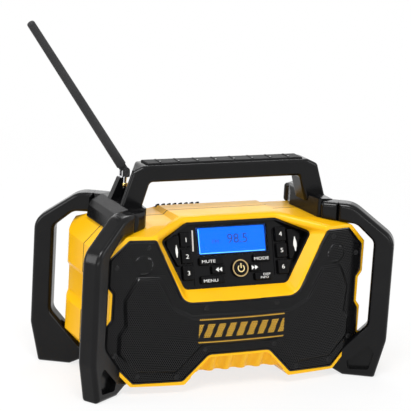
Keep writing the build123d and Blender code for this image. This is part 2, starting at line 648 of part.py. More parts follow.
def make_panel():
    tray = along_y(rounded([(x * 0.998, z) for x, z in PANEL_FRONT], PANEL_RADII), -100, -10)
    low, tip, top = [(y, z) for _, y, z in RIM_POINTS]
    lip_room = along_x(plain([low, tip, top, (0, 190), (0, 90), (-61, 100)]), -120, 120)
    tray = (tray & lip_room) & on_panel(Rectangle(400, 400), -PANEL_THICK, 40)
    inner = along_y(offset(rounded(PANEL_FRONT, PANEL_RADII), amount=-2.2), -100, -10)
    tray = tray - (inner & on_panel(Rectangle(400, 400), 0, 60))
    window = panel_box(0, LCD_V, LCD_SIZE[0] + 5, LCD_SIZE[1] + 5, -1.6, 0, 2.0)
    tray = tray - window - panel_box(0, LCD_V, *LCD_SIZE, -10, 1, 1.5)
    for u, v, width, height in key_spots().values():
        tray = tray - panel_box(u, v, width + 2 * KEY_GAP, height + 2 * KEY_GAP, -10, 10, 1.8)
    tray = tray + on_panel(Pos(POWER_U, POWER_V) * Circle(COLLAR_R), 0, 3.0)
    tray = tray - on_panel(Pos(POWER_U, POWER_V) * Circle(POWER_R + KEY_GAP), -10, 10)
    for side in (1, -1):
        tray = tray - on_panel(rocker_face(side, 0.7), -10, 1)
        for v in STANDOFF_V:
            tray = tray + on_panel(Pos(side * STANDOFF_U, v) * Circle(2.4), BOARD_TOP, -PANEL_THICK)
    return tray, window


def rocker_face(side, grow=0.0):
    face = rounded([(side * u, v) for u, v in ROCKER_OUTLINE], 1.2)
    return offset(face, amount=grow) if grow else face


def make_rocker(side):
    """A rocker that tips about an axis across its middle."""
    cap = on_panel(rocker_face(side), -3.0, ROCKER_PROUD)
    cap = fillet(cap.faces().sort_by(Axis.Y)[0].edges(), 0.9)
    root = panel_box(side * ROCKER_U, ROCKER_V, 6.0, 6.0, -6.0, -3.0)
    barrel = PANEL * Pos(side * ROCKER_U, ROCKER_V, ROCKER_DEPTH) * Rot(0, 90, 0) * Cylinder(1.6, 13.0)
    return cap + root + barrel


def make_power():
    """The power button: a round cap with a dished top inside the raised collar."""
    cap = on_panel(Pos(POWER_U, POWER_V) * Circle(POWER_R), -3.2, 4.4)
    cap = fillet(cap.faces().sort_by(Axis.Y)[0].edges(), 1.2)
    flange = on_panel(Pos(POWER_U, POWER_V) * Circle(POWER_R + 1.4), -4.6, -3.2)
    return cap + flange + on_panel(Pos(POWER_U, POWER_V) * Circle(2.0), -6.4, -4.0)


def make_control_board():
    """The board behind the keys, with a press switch under each."""
    board = panel_box(0, 38, 126, 70, BOARD_TOP - BOARD_THICK, BOARD_TOP, 2.0)
    for side in (1, -1):
        board = board + panel_box(side * 70, ROCKER_V, 24, 12, BOARD_TOP - BOARD_THICK, BOARD_TOP)
        for u in (ROCKER_U - 5, ROCKER_U + 5):
            board = board + panel_box(side * u, ROCKER_V, 2.6, 6, BOARD_TOP - 0.2, ROCKER_DEPTH + 2.4)
        axle = PANEL * Pos(side * ROCKER_U, ROCKER_V, ROCKER_DEPTH) * Rot(0, 90, 0)
        board = board - axle * Cylinder(1.66, 14.0)
    gap = KEY_TRAVEL + 0.15
    places = [(u, v) for u, v, _, _ in key_spots().values()] + [(POWER_U, POWER_V)]
    for u, v in places:
        board = board + panel_box(u, v, 6, 6, BOARD_TOP - 0.5, -8.4)
        board = board + on_panel(Pos(u, v) * Circle(1.6), BOARD_TOP, -6.4 - gap)
    return board


def make_lcd():
    glass = panel_box(0, LCD_V, LCD_SIZE[0] - 0.6, LCD_SIZE[1] - 0.6, -6.0, -1.9, 1.0)
    frame = panel_box(0, LCD_V, LCD_SIZE[0] + 4, LCD_SIZE[1] + 2, BOARD_TOP, -PANEL_THICK)
    return glass + frame


# ---------------------------------------------------------------- speakers and electronics
def ring_profile(points, plane):
    """Turn an outline drawn in (radius, height out of the plane) about the plane's normal."""
    face = Plane.XZ * plain(points)
    return plane.location * revolve(face, axis=Axis.Z)


def make_speaker(side):
    """Basket with its rubber surround, magnet, and the moving cone with its coil."""
    at = speaker_plane(side)
    basket = ring_profile([
        (CONE_R + 7.2, 0), (SPEAKER_R, 0), (SPEAKER_R, -3), (CONE_R + 5, -3.5), (24, -27), (24, -30),
        (14, -30), (14, -27.5), (21, -27.5), (CONE_R + 2.5, -3.5),
        (CONE_R + 2.5, -1.5), (CONE_R + 7.2, -1.5),
    ], at)
    magnet = ring_profile([
        (0, -31), (6, -31), (6, -30.01), (30, -30.01), (30, -44), (0, -44),
    ], at)
    cone = ring_profile([
        (0, -13), (8, -13), (CONE_R, -2.6), (CONE_R, -1.4), (8, -11.6), (6, -9), (0, -8),
    ], at)
    coil = ring_profile([(8.5, -24), (9.5, -24), (9.5, -12), (8.5, -12)], at)
    return basket, magnet, cone + coil


def make_tweeter(side):
    return ring_profile([
        (0, -12), (10, -12), (10, -3), (TWEETER_R, -3), (TWEETER_R, 0), (8, 0), (6, 1.2), (3, 2.2), (0, 2.5),
    ], tweeter_plane(side))


def make_main_board():
    board = block(-44, 44, BOARD_Y, BOARD_Y + 1.6, 52, 134)
    chips = ((-24, 112, 20, 12, 6), (8, 112, 14, 14, 3), (28, 74, 12, 30, 12), (-20, 72, 26, 16, 5))
    for x, z, w, h, d in chips:
        board = board + block(x - w / 2, x + w / 2, BOARD_Y - d, BOARD_Y + 0.2, z - h / 2, z + h / 2)
    return board


# ---------------------------------------------------------------- rear: battery bay and sockets
def make_bay():
    """A box open to the rear, with a flange and two slide rails on its floor."""
    cup = block(-BAY_HALF + 0.3, BAY_HALF - 0.3, BAY_FLOOR_Y, REAR_Y, BAY_LOW + 0.3, BAY_HIGH - 0.3)
    flange = block(-BAY_HALF - 4, BAY_HALF + 4, REAR_Y, REAR_Y + 2.5, BAY_LOW - 4, BAY_HIGH + 4)
    flange = fillet(flange.edges().filter_by(Axis.Y), 5.0)
    half, low, high = BAY_HALF - 3.3, BAY_LOW + 3.3, BAY_HIGH - 3.3
    bay = cup + flange - block(-half, half, BAY_FLOOR_Y + 3, 80, low, high)
    for side in (1, -1):
        rail = block(26, 32, BAY_FLOOR_Y + 2, BAY_FLOOR_Y + 12, 62, 122)
        rail = rail + block(26, 36, BAY_FLOOR_Y + 9, BAY_FLOOR_Y + 12, 62, 122)
        bay = bay + (rail if side > 0 else mirror(rail, about=Plane.YZ))
        for z in (56, 130):
            bay = bay + rod((side * 40, BOARD_Y + 1.6, z), (side * 40, BAY_FLOOR_Y + 0.5, z), 2.6)
    for x, z in REAR_SCREWS[:4]:
        bay = bay - rod((x, 60, z), (x, 70, z), 1.7)
    return bay


def make_terminals():
    body = block(-18, 18, BAY_FLOOR_Y + 3, BAY_FLOOR_Y + 11, 64, 82)
    for i in range(5):
        x = (i - 2) * 6.4
        body = body + block(x - 0.5, x + 0.5, BAY_FLOOR_Y + 4, BAY_FLOOR_Y + 9.5, 81, 92)
    return body


def make_ports():
    """The socket plate, its three sockets and the hinge ears of the cover."""
    plate = block(PORT_X0, PORT_X1, REAR_Y, REAR_Y + 2.5, PORT_Z0, PORT_Z1)
    plate = fillet(plate.edges().filter_by(Axis.Y), 3.0)
    plate = plate + block(PORT_X0 + 2.3, PORT_X1 - 2.3, REAR_Y - 3, REAR_Y, PORT_Z0 + 2.3, PORT_Z1 - 2.3)
    plate = plate - rod((DC_X, 50, PORT_Z), (DC_X, 80, PORT_Z), 4.6)
    plate = plate - rod((AUX_X, 50, PORT_Z), (AUX_X, 80, PORT_Z), 3.6)
    plate = plate - block(USB_X - 7.2, USB_X + 7.2, 50, 80, PORT_Z - 3.6, PORT_Z + 3.6)
    for x, z in REAR_SCREWS[4:]:
        plate = plate - rod((x, 50, z), (x, 80, z), 1.7)
    for x in (USB_X - 13.4, USB_X + 11.4):
        ear = block(x, x + 2, REAR_Y + 2, REAR_Y + 6.6, HINGE_Z - 2, HINGE_Z + 2)
        plate = plate + fillet(ear.edges().filter_by(Axis.X).sort_by(Axis.Y)[-2:], 1.9)
    plate = plate + rod((USB_X - 12, HINGE_Y, HINGE_Z), (USB_X + 12, HINGE_Y, HINGE_Z), 1.0)

    dc = rod((DC_X, 48, PORT_Z), (DC_X, REAR_Y + 2, PORT_Z), 4.5)
    dc = dc - rod((DC_X, 54, PORT_Z), (DC_X, 80, PORT_Z), 2.8)
    dc = dc + rod((DC_X, 50, PORT_Z), (DC_X, REAR_Y, PORT_Z), 1.0)
    aux = rod((AUX_X, 48, PORT_Z), (AUX_X, REAR_Y + 2, PORT_Z), 3.5)
    aux = aux - rod((AUX_X, 50, PORT_Z), (AUX_X, 80, PORT_Z), 1.8)
    usb = block(USB_X - 7.0, USB_X + 7.0, 46, REAR_Y + 2, PORT_Z - 3.4, PORT_Z + 3.4)
    usb = usb - block(USB_X - 6.2, USB_X + 6.2, 50, 80, PORT_Z - 2.6, PORT_Z + 2.6)
    usb = usb + block(USB_X - 5.6, USB_X + 5.6, 48, REAR_Y, PORT_Z + 0.5, PORT_Z + 2.0)

    flap = block(USB_X - 11, USB_X + 11, REAR_Y + 3.2, REAR_Y + 6.0, HINGE_Z + 2.3, PORT_Z + 8)
    flap = fillet(flap.edges().filter_by(Axis.Y).sort_by(Axis.Z)[-2:], 3.0)
    web = block(USB_X - 11, USB_X + 11, REAR_Y + 3.4, REAR_Y + 5.6, HINGE_Z, HINGE_Z + 3)
    knuckle = rod((USB_X - 11, HINGE_Y, HINGE_Z), (USB_X + 11, HINGE_Y, HINGE_Z), 2.0)
    flap = flap + web + knuckle - rod((USB_X - 12, HINGE_Y, HINGE_Z), (USB_X + 12, HINGE_Y, HINGE_Z), 1.06)
    return plate, dc, aux, usb, flap


# the slope behind the crest: x across, y down the slope, z out of it
VENT_FALL = math.atan2(TOP_Z - REAR_TOP_Z, REAR_Y - CREST_Y)
VENT = Plane(
    origin=(0, VENT_Y, TOP_Z - (VENT_Y - CREST_Y) * math.tan(VENT_FALL)),
    x_dir=(1, 0, 0),
    z_dir=(0, math.sin(VENT_FALL), math.cos(VENT_FALL)),
)


def vent_box(x0, x1, width, z0, z1):
    return VENT * Pos((x0 + x1) / 2, 0, (z0 + z1) / 2) * Box(x1 - x0, width, z1 - z0)


def make_vent():
    strip = vent_box(VENT_X0, VENT_X1, 8, -1.5, 0.3)
    for i in range(VENT_RIBS):
        x = VENT_X0 + 4 + i * VENT_PITCH
        strip = strip + vent_box(x - 1.2, x + 1.2, 6, 0, 2.4)
    return strip


# ---------------------------------------------------------------- grille and fasteners
GRILLE_SCREWS = [(146, 145), (112, 167.5), (144, 46), (43, 97), (42, 50), (118, 22), (74, 20)]


def make_grille():
    sheet = along_y(grille_outline(), -100, 0) & bow_band(0.4, 0.4 + GRILLE_THICK)
    screws = []
    for x, z in GRILLE_SCREWS:
        for side in (1, -1):
            y = bow_y(x, 0.4)
            one = screw((side * x, y, z), (side * x, y + 4.6, z), 2.8, 1.5, 1.0)
            sheet = sheet - one
            screws.append(one)
    return sheet, screws


# ---------------------------------------------------------------- build
front_housing, rear_housing, outer_form = make_housings()
grille, grille_screws = make_grille()
for one in grille_screws:
    front_housing = front_housing - one

bar, sole = make_bar(outer_form)
saddle = make_saddle(outer_form)
saddle_right, saddle_left = both_sides(saddle)
handle, handle_insert = make_handle((saddle_right, saddle_left))
antenna_post, antenna_swivel, antenna_pin, antenna_rod = make_antenna(saddle_left, handle)
control_panel, lcd_window = make_panel()

seal = outer_form & block(-170, 170, -SEAL / 2, SEAL / 2, 0, 200)
seal = seal - body_block(SEAL_WIDTH, SEAL_WIDTH, SEAL_WIDTH)

save("front_housing", front_housing)
save("rear_housing", rear_housing)
save("housing_seal", seal)
save("housing_screws", *[
    one for x, z in POSTS
    for one in both_sides(screw((x, SCREW_SEAT_Y, z), (x, SCREW_TIP_Y, z), SCREW_HEAD_R, SCREW_R))
])
save("speaker_grille", grille)
save("grille_screws", *grille_screws)
save("control_panel", control_panel)
save("lcd_window", lcd_window)
save("lcd_module", make_lcd())
save("control_board", make_control_board())
save("saddle_left", saddle_left)
save("saddle_right", saddle_right)

corners = {
    "front_right": lambda one: one,
    "front_left": lambda one: mirror(one, about=Plane.YZ),
    "rear_right": lambda one: mirror(one, about=Plane.XZ),
    "rear_left": lambda one: mirror(mirror(one, about=Plane.YZ), about=Plane.XZ),
}
for corner, place in corners.items():
    save(f"cage_{corner}", place(bar))
save("foot_pads", *[place(sole) for place in corners.values()])
save("cage_screws", *[place(cage_screw()) for place in corners.values()], *saddle_screws())
save("handle_screws", *handle_screws())
save("handle", handle)
save("handle_insert", handle_insert)
save("antenna_post", antenna_post)
save("antenna_swivel", antenna_swivel)
save("antenna_pin", antenna_pin)
save("antenna_rod", antenna_rod)

for name, spot in key_spots().items():
    save(name, make_key(*spot))
save("power_button", make_power())
save("volume_rocker", make_rocker(-1))
save("tuning_rocker", make_rocker(1))

for side, word in ((1, "right"), (-1, "left")):
    basket, magnet, cone = make_speaker(side)
    save(f"speaker_frame_{word}", basket)
    save(f"speaker_magnet_{word}", magnet)
    save(f"speaker_cone_{word}", cone)
    save(f"tweeter_{word}", make_tweeter(side))
save("main_board", make_main_board())

save("battery_bay", make_bay())
save("battery_terminals", make_terminals())
save("rear_screws", *[screw((x, REAR_Y + 2.5, z), (x, 60.6, z), 2.6, 1.5, 1.4) for x, z in REAR_SCREWS])
port_plate, dc_inlet, aux_socket, usb_socket, port_cover = make_ports()
save("port_panel", port_plate)
save("dc_inlet", dc_inlet)
save("aux_socket", aux_socket)
save("usb_socket", usb_socket)
save("port_cover", port_cover)
save("top_vent", make_vent())
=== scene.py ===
"""Looks of a jobsite radio in a roll cage, built around its packed construction model."""
import math

import bmesh
import bpy
import numpy as np
from mathutils import Matrix, Vector


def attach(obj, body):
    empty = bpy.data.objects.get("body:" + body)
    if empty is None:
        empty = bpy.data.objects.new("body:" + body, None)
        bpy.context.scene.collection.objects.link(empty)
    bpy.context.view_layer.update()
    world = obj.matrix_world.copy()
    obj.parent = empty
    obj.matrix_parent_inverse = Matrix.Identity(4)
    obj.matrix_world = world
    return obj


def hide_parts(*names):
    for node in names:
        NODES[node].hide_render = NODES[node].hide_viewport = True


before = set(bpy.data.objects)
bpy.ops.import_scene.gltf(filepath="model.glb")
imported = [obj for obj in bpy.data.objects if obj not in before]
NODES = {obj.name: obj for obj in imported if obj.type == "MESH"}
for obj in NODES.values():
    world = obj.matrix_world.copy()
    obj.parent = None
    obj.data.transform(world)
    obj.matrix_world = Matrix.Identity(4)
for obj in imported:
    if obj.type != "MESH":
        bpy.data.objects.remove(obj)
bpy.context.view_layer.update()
ROOT = "radio_body"
MM = 0.001                  # lengths are in mm, and become metres through this

# ------------------------------------------------------------ forms shared with the construction
FRONT_Y = -80.6             # the housing's front at the centre line
BOW_RADIUS = 700.0          # of the front, seen from above
PANEL_ORIGIN = (0.0, -62.3, 114.1)      # the middle of the sloping panel's lower edge
PANEL_TILT = math.radians(20.4)         # of the panel, back from upright
GRILLE_HALF = [             # right half of the grille's outline in (x, z), from the top
    (68.7, 104), (104, 175.7), (134, 175.4), (154.5, 154), (155, 123.5), (149, 116),
    (149.3, 86.5), (155, 78.5), (156, 47), (122.5, 13), (66, 14), (37, 43.2),
]
GRILLE_RADII = [16, 4.6, 3.5, 3.5, 3.5, 3.5, 3.5, 3.5, 3.5, 3.5, 6, 9]


def mm(*values):
    return Vector(values) * MM


def bow_y(x):
    """Depth of the bowed front at x, for one value or an array."""
    return FRONT_Y + BOW_RADIUS - np.sqrt(BOW_RADIUS ** 2 - x * x)


def on_panel(u, v, w=0.0):
    """A point of the sloping panel, in metres: u across, v up the slope, w out of it, in mm."""
    s, c = math.sin(PANEL_TILT), math.cos(PANEL_TILT)
    x, y, z = PANEL_ORIGIN
    return mm(x + u, y + v * s - w * c, z + v * c + w * s)


PANEL_TURN = Matrix((           # from flat to the panel's slope
    (1, 0, 0),
    (0, math.sin(PANEL_TILT), -math.cos(PANEL_TILT)),
    (0, math.cos(PANEL_TILT), math.sin(PANEL_TILT)),
)).to_4x4()


# ------------------------------------------------------------ materials
MATS = {}
NOISE_RANGE = (0.3, 0.7)    # the part of the noise's values that is used


def new_material(name, color, roughness, **sockets):
    mat = bpy.data.materials.new(name)
    mat.use_nodes = True
    bsdf = mat.node_tree.nodes["Principled BSDF"]
    bsdf.inputs["Base Color"].default_value = (*color, 1)
    bsdf.inputs["Roughness"].default_value = roughness
    for key, value in sockets.items():
        bsdf.inputs[key.replace("_", " ")].default_value = value
    MATS[name] = mat
    return mat


def node(mat, kind, **values):
    made = mat.node_tree.nodes.new(kind)
    for key, value in values.items():
        if hasattr(made, key):
            setattr(made, key, value)
        else:
            made.inputs[key.replace("_", " ")].default_value = value
    return made


def link(mat, source, target):
    mat.node_tree.links.new(source, target)


def place(mat):
    """The point in the object's own frame, which moves with the piece."""
    return node(mat, "ShaderNodeTexCoord").outputs["Object"]


def noise(mat, scale, detail):
    made = node(mat, "ShaderNodeTexNoise", Scale=scale, Detail=detail)
    link(mat, place(mat), made.inputs["Vector"])
    return made.outputs["Fac"]


def remap(mat, source, low, high, low_in, high_in):
    made = node(mat, "ShaderNodeMapRange")
    for socket, value in zip(made.inputs[1:5], (low_in, high_in, low, high)):
        socket.default_value = value
    link(mat, source, made.inputs["Value"])
    return made.outputs["Result"]


def two_colors(mat, first, second, share):
    """Base colour that goes from the first to the second as the share goes from 0 to 1."""
    mix = node(mat, "ShaderNodeMix", data_type="RGBA")
    mix.inputs["A"].default_value = (*first, 1)
    mix.inputs["B"].default_value = (*second, 1)
    link(mat, share, mix.inputs["Factor"])
    link(mat, mix.outputs["Result"], mat.node_tree.nodes["Principled BSDF"].inputs["Base Color"])


def vary_color(mat, first, second, scale):
    """Colour that drifts between two close values, as moulded plastic and paint do."""
    two_colors(mat, first, second, remap(mat, noise(mat, scale, 4.0), 0, 1, *NOISE_RANGE))


def vary_roughness(mat, low, high, scale):
    bsdf = mat.node_tree.nodes["Principled BSDF"]
    result = remap(mat, noise(mat, scale, 5.0), low, high, *NOISE_RANGE)
    link(mat, result, bsdf.inputs["Roughness"])


def grain(mat, scale, strength, distance):
    """Fine moulded texture; distance in metres."""
    bsdf = mat.node_tree.nodes["Principled BSDF"]
    bump = node(mat, "ShaderNodeBump", Strength=strength, Distance=distance)
    link(mat, noise(mat, scale, 2.0), bump.inputs["Height"])
    link(mat, bump.outputs["Normal"], bsdf.inputs["Normal"])


def surface(name, color, roughness, texture=None, **sockets):
    """A material. The colour is one colour, or two and the scale of the drift between them; the
    roughness is a number, or a low, a high and a scale; texture is what grain takes."""
    drifts = isinstance(color[0], tuple)
    varies = isinstance(roughness, tuple)
    plain_color = color[0] if drifts else color
    plain_roughness = roughness[0] if varies else roughness
    mat = new_material(name, plain_color, plain_roughness, **sockets)
    if drifts:
        vary_color(mat, *color)
    if varies:
        vary_roughness(mat, *roughness)
    if texture:
        grain(mat, *texture)


def make_materials():
    # mouldings, sleeve and paint
    surface("yellow_shell", ((0.93, 0.48, 0.001), (0.97, 0.52, 0.003), 14), (0.3, 0.4, 60),
            (1500, 0.12, 0.0002), Specular_IOR_Level=0.3)
    surface("cage_black", ((0.0022, 0.0022, 0.0025), (0.0038, 0.0038, 0.0042), 30),
            (0.15, 0.24, 45), (1300, 0.2, 0.0002), Specular_IOR_Level=0.2)
    surface("black_plastic", (0.003, 0.003, 0.0035), (0.12, 0.2, 80), Specular_IOR_Level=0.16)
    surface("black_rubber", ((0.005, 0.005, 0.0055), (0.009, 0.009, 0.0095), 50), 0.55,
            (1800, 0.3, 0.0002), Specular_IOR_Level=0.1)
    surface("antenna_sleeve", ((0.026, 0.026, 0.027), (0.036, 0.036, 0.037), 40), 0.5,
            (1500, 0.2, 0.0002), Specular_IOR_Level=0.15)
    surface("key_black", (0.0032, 0.0032, 0.0036), (0.2, 0.3, 90), (1600, 0.1, 0.0002),
            Specular_IOR_Level=0.1)
    surface("cone_black", (0.012, 0.012, 0.013), 0.75, (900, 0.4, 0.0003))
    surface("speaker_cloth", (0.0015, 0.0015, 0.002), 0.95, (2500, 0.6, 0.0003),
            Specular_IOR_Level=0.1)
    surface("board_green", ((0.018, 0.11, 0.045), (0.025, 0.14, 0.06), 120), 0.4)

    # metals
    surface("black_steel", (0.03, 0.03, 0.032), (0.28, 0.45, 200), Metallic=0.6)
    surface("screw_black", (0.01, 0.01, 0.0105), (0.2, 0.32, 300), Metallic=0.3,
            Specular_IOR_Level=0.3)
    surface("chrome_metal", (0.78, 0.78, 0.8), (0.08, 0.2, 120), Metallic=1.0)
    surface("brass_metal", (0.8, 0.55, 0.2), (0.2, 0.34, 120), Metallic=1.0)
    surface("plain_steel", (0.55, 0.55, 0.57), (0.22, 0.4, 150), Metallic=1.0)
    # painted highlight: a pale metal for the strip that stands for the light along the display
    # frame's left edge
    surface("painted_highlight_silver", (0.62, 0.58, 0.54), 0.28, Metallic=0.9)
    surface("ring_gold", (0.42, 0.3, 0.13), 0.35, Metallic=0.6)

    # printed marks, small trims, and a painted glint
    surface("mark_white", (0.82, 0.82, 0.8), 0.5)
    surface("mark_cream", (0.85, 0.68, 0.32), 0.4)
    # painted glint: a pale grey for the small studs on the handle's insert, where light glints on
    # its ribs
    surface("painted_glint_grey", (0.3, 0.3, 0.3), 0.35)
    surface("trim_grey", (0.35, 0.35, 0.36), 0.4)

    # display
    surface("clear_lens", (0.9, 0.95, 1.0), 0.03, Transmission_Weight=1.0, IOR=1.15)
    surface("blue_display", (0.0, 0.04, 0.3), 0.4, Specular_IOR_Level=0.1,
            Emission_Color=(0.0, 0.165, 1.0, 1), Emission_Strength=0.95)
    surface("lcd_ink", (0.0, 0.03, 0.22), 0.5)
    surface("lcd_glow", (0.2, 0.7, 1.0), 0.4,
            Emission_Color=(0.15, 0.75, 1.0, 1), Emission_Strength=0.7)


def paint(obj, name):
    obj.data.materials.clear()
    obj.data.materials.append(MATS[name])


NODE_MATERIALS = {
    "control_panel": "black_plastic", "top_vent": "black_plastic", "port_panel": "black_plastic",
    "battery_bay": "black_plastic", "dc_inlet": "black_plastic", "antenna_post": "cage_black",
    "lcd_window": "clear_lens", "lcd_module": "blue_display", "antenna_rod": "antenna_sleeve",
    "antenna_swivel": "chrome_metal", "antenna_pin": "chrome_metal",
    "aux_socket": "brass_metal", "battery_terminals": "brass_metal", "usb_socket": "plain_steel",
    "front_housing": "yellow_shell", "rear_housing": "yellow_shell", "handle": "cage_black",
    "grille_screws": "screw_black", "power_button": "key_black",
}
MATERIAL_BY_START = {
    "cage_front": "cage_black", "cage_rear": "cage_black", "saddle": "cage_black",
    "preset_key": "key_black", "speaker_frame": "black_steel", "speaker_magnet": "black_steel",
    "speaker_cone": "cone_black", "tweeter": "cone_black",
}
MATERIAL_BY_END = {
    "_screws": "black_steel", "_key": "key_black", "_rocker": "key_black",
    "_board": "board_green",
}


def node_material(name):
    """The material of a node of the construction; what is in no table is rubber."""
    if name in NODE_MATERIALS:
        return NODE_MATERIALS[name]
    for start, material in MATERIAL_BY_START.items():
        if name.startswith(start):
            return material
    for end, material in MATERIAL_BY_END.items():
        if name.endswith(end):
            return material
    return "black_rubber"


make_materials()
for name, obj in NODES.items():
    paint(obj, node_material(name))


# ------------------------------------------------------------ stage, lights, camera
FLOOR_SIZE = 4.0                # metres, as all lengths of the stage
FLOOR_GLOW = 0.78               # share of plain white in the floor that the camera sees
FLOOR_FADE = (0.55, 1.4)        # where the floor starts and ends to fade into the backdrop
AMBIENT = 0.3
LAMPS = [                       # name, place, the point aimed at, width and height, watts
    ("key", (-0.6, -1.1, 2.0), (0, 0, 0.12), (0.8, 0.8), 36),
    ("fill", (1.6, -1.5, 0.9), (0, 0, 0.12), (0.5, 1.0), 7),
    ("rim", (0.5, 1.3, 1.5), (0, 0, 0.15), (1.4, 0.5), 14),
    ("side", (-1.8, 0.0, 0.8), (0, 0, 0.15), (0.5, 1.2), 12),
    ("low", (-0.5, -1.7, 0.3), (0, 0, 0.05), (1.2, 0.3), 5),
    ("back", (0.9, 2.3, 0.8), (0, 0, 0.15), (1.6, 0.8), 3),
]
CAMERA_YAW, CAMERA_PITCH, CAMERA_ROLL = (math.radians(a) for a in (25.49, 13.94, 3.46))
CAMERA_PLACE = (-0.93563, -1.93225, 0.72281)
CAMERA_FOCAL, IMAGE_SIZE = 1966.5, 411          # pixels
SENSOR = 36.0                                   # mm


def area_light(name, place_at, aim, size, power):
    data = bpy.data.lights.new(name, "AREA")
    data.shape = "RECTANGLE"
    data.size, data.size_y = size
    data.energy = power
    lamp = bpy.data.objects.new(name, data)
    lamp.location = place_at
    lamp.rotation_euler = (Vector(aim) - Vector(place_at)).to_track_quat("-Z", "Y").to_euler()
    bpy.context.scene.collection.objects.link(lamp)


def background_mask(tree):
    """1 for the rays that see the background: from the camera, by reflection or through glass."""
    path = tree.nodes.new("ShaderNodeLightPath")
    found = path.outputs["Is Camera Ray"]
    for name in ("Is Glossy Ray", "Is Transmission Ray"):
        most = tree.nodes.new("ShaderNodeMath")
        most.operation = "MAXIMUM"
        tree.links.new(found, most.inputs[0])
        tree.links.new(path.outputs[name], most.inputs[1])
        found = most.outputs[0]
    return found


def mix_shaders(mat, share, first, second):
    """The first shader at 0 and the second at 1; the share is a number or a node's output."""
    made = node(mat, "ShaderNodeMixShader")
    if isinstance(share, float):
        made.inputs[0].default_value = share
    else:
        link(mat, share, made.inputs[0])
    link(mat, first, made.inputs[1])
    link(mat, second, made.inputs[2])
    return made.outputs[0]


def make_floor():
    """A white floor that keeps a soft shadow and fades into the white backdrop."""
    bpy.ops.mesh.primitive_plane_add(size=FLOOR_SIZE, location=(0, 0, 0))
    floor = bpy.context.object
    floor.name = "floor"
    mat = new_material("floor_white", (0.9, 0.9, 0.9), 0.9, Specular_IOR_Level=0.0)
    floor.data.materials.append(mat)
    tree = mat.node_tree
    lit = tree.nodes["Principled BSDF"].outputs[0]
    glow = node(mat, "ShaderNodeEmission", Strength=1.0).outputs[0]
    clear = node(mat, "ShaderNodeBsdfTransparent").outputs[0]
    seen = mix_shaders(mat, FLOOR_GLOW, lit, glow)
    body = mix_shaders(mat, background_mask(tree), lit, seen)
    far = node(mat, "ShaderNodeVectorMath", operation="LENGTH")
    link(mat, place(mat), far.inputs[0])
    fade = remap(mat, far.outputs["Value"], 0, 1, *FLOOR_FADE)
    whole = mix_shaders(mat, fade, body, clear)
    link(mat, whole, tree.nodes["Material Output"].inputs["Surface"])


def make_stage():
    scene = bpy.context.scene
    scene.view_settings.view_transform = "Standard"
    world = bpy.data.worlds.new("studio")
    world.use_nodes = True
    scene.world = world
    tree = world.node_tree
    background = tree.nodes["Background"]
    background.inputs["Color"].default_value = (1, 1, 1, 1)
    strength = tree.nodes.new("ShaderNodeMapRange")
    strength.inputs["To Min"].default_value = AMBIENT
    strength.inputs["To Max"].default_value = 1.0
    tree.links.new(background_mask(tree), strength.inputs["Value"])
    tree.links.new(strength.outputs["Result"], background.inputs["Strength"])
    make_floor()
    for lamp in LAMPS:
        area_light(*lamp)


def make_camera():
    """The camera of the picture; its direction, roll and place come from the radio's symmetry."""
    yaw, pitch, roll = CAMERA_YAW, CAMERA_PITCH, CAMERA_ROLL
    ahead = Vector((math.sin(yaw) * math.cos(pitch), math.cos(yaw) * math.cos(pitch),
                    -math.sin(pitch)))
    right = Vector((math.cos(yaw), -math.sin(yaw), 0))
    down = ahead.cross(right)
    right, down = (
        right * math.cos(roll) - down * math.sin(roll),
        right * math.sin(roll) + down * math.cos(roll),
    )
    data = bpy.data.cameras.new("camera")
    data.sensor_width = SENSOR
    data.lens = SENSOR * CAMERA_FOCAL / IMAGE_SIZE
    camera = bpy.data.objects.new("camera", data)
    turn = Matrix((right, -down, -ahead)).transposed().to_4x4()
    camera.matrix_world = Matrix.Translation(CAMERA_PLACE) @ turn
    bpy.context.scene.collection.objects.link(camera)
    bpy.context.scene.camera = camera


make_stage()
make_camera()


# ------------------------------------------------------------ mesh helpers
def belongs(obj, body):
    """The piece rides on this body."""
    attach(obj, body)
    return obj


def mesh_object(name, verts, faces, material, smooth=False):
    """A new object; verts in mm."""
    data = bpy.data.meshes.new(name)
    data.from_pydata([tuple(c * MM for c in v) for v in verts], [], faces)
    data.validate()
    if smooth:
        data.shade_smooth()
    obj = bpy.data.objects.new(name, data)
    bpy.context.scene.collection.objects.link(obj)
    paint(obj, material)
    return obj


def merge_points(obj, distance):
    """Joins points closer than this many mm, and takes out points that no face uses."""
    work = bmesh.new()
    work.from_mesh(obj.data)
    bmesh.ops.remove_doubles(work, verts=work.verts, dist=distance * MM)
    unused = [v for v in work.verts if not v.link_faces]
    bmesh.ops.delete(work, geom=unused, context="VERTS")
    work.to_mesh(obj.data)
    work.free()


def mirrored(points):
    flipped = [(-x, z) for x, z in reversed(points) if x > 0]
    return list(points) + flipped


def rounded_outline(points, radii, steps=6):
    """A closed polygon with each corner replaced by an arc of its own radius."""
    out = []
    count = len(points)
    for i, (corner, radius) in enumerate(zip(points, radii)):
        here = Vector(corner)
        before = (Vector(points[i - 1]) - here).normalized()
        after = (Vector(points[(i + 1) % count]) - here).normalized()
        half = before.angle(after) / 2
        reach = radius / math.tan(half)
        middle = here + (before + after).normalized() * (radius / math.sin(half))
        start = here + before * reach - middle
        turn = math.pi - 2 * half
        sign = 1 if start.x * after.y - start.y * after.x > 0 else -1
        for k in range(steps + 1):
            a = sign * turn * k / steps
            out.append((
                middle.x + start.x * math.cos(a) - start.y * math.sin(a),
                middle.y + start.x * math.sin(a) + start.y * math.cos(a),
            ))
    return out


def outline_normals(points, length):
    """For each point of a closed outline, the outward vector of this length."""
    out = []
    area = sum(p[0] * q[1] - q[0] * p[1] for p, q in zip(points, points[1:] + points[:1]))
    sign = 1 if area > 0 else -1
    for before, here, after in zip(points[-1:] + points[:-1], points, points[1:] + points[:1]):
        along = Vector((after[0] - before[0], after[1] - before[1])).normalized()
        out.append((along.y * sign * length, -along.x * sign * length))
    return out


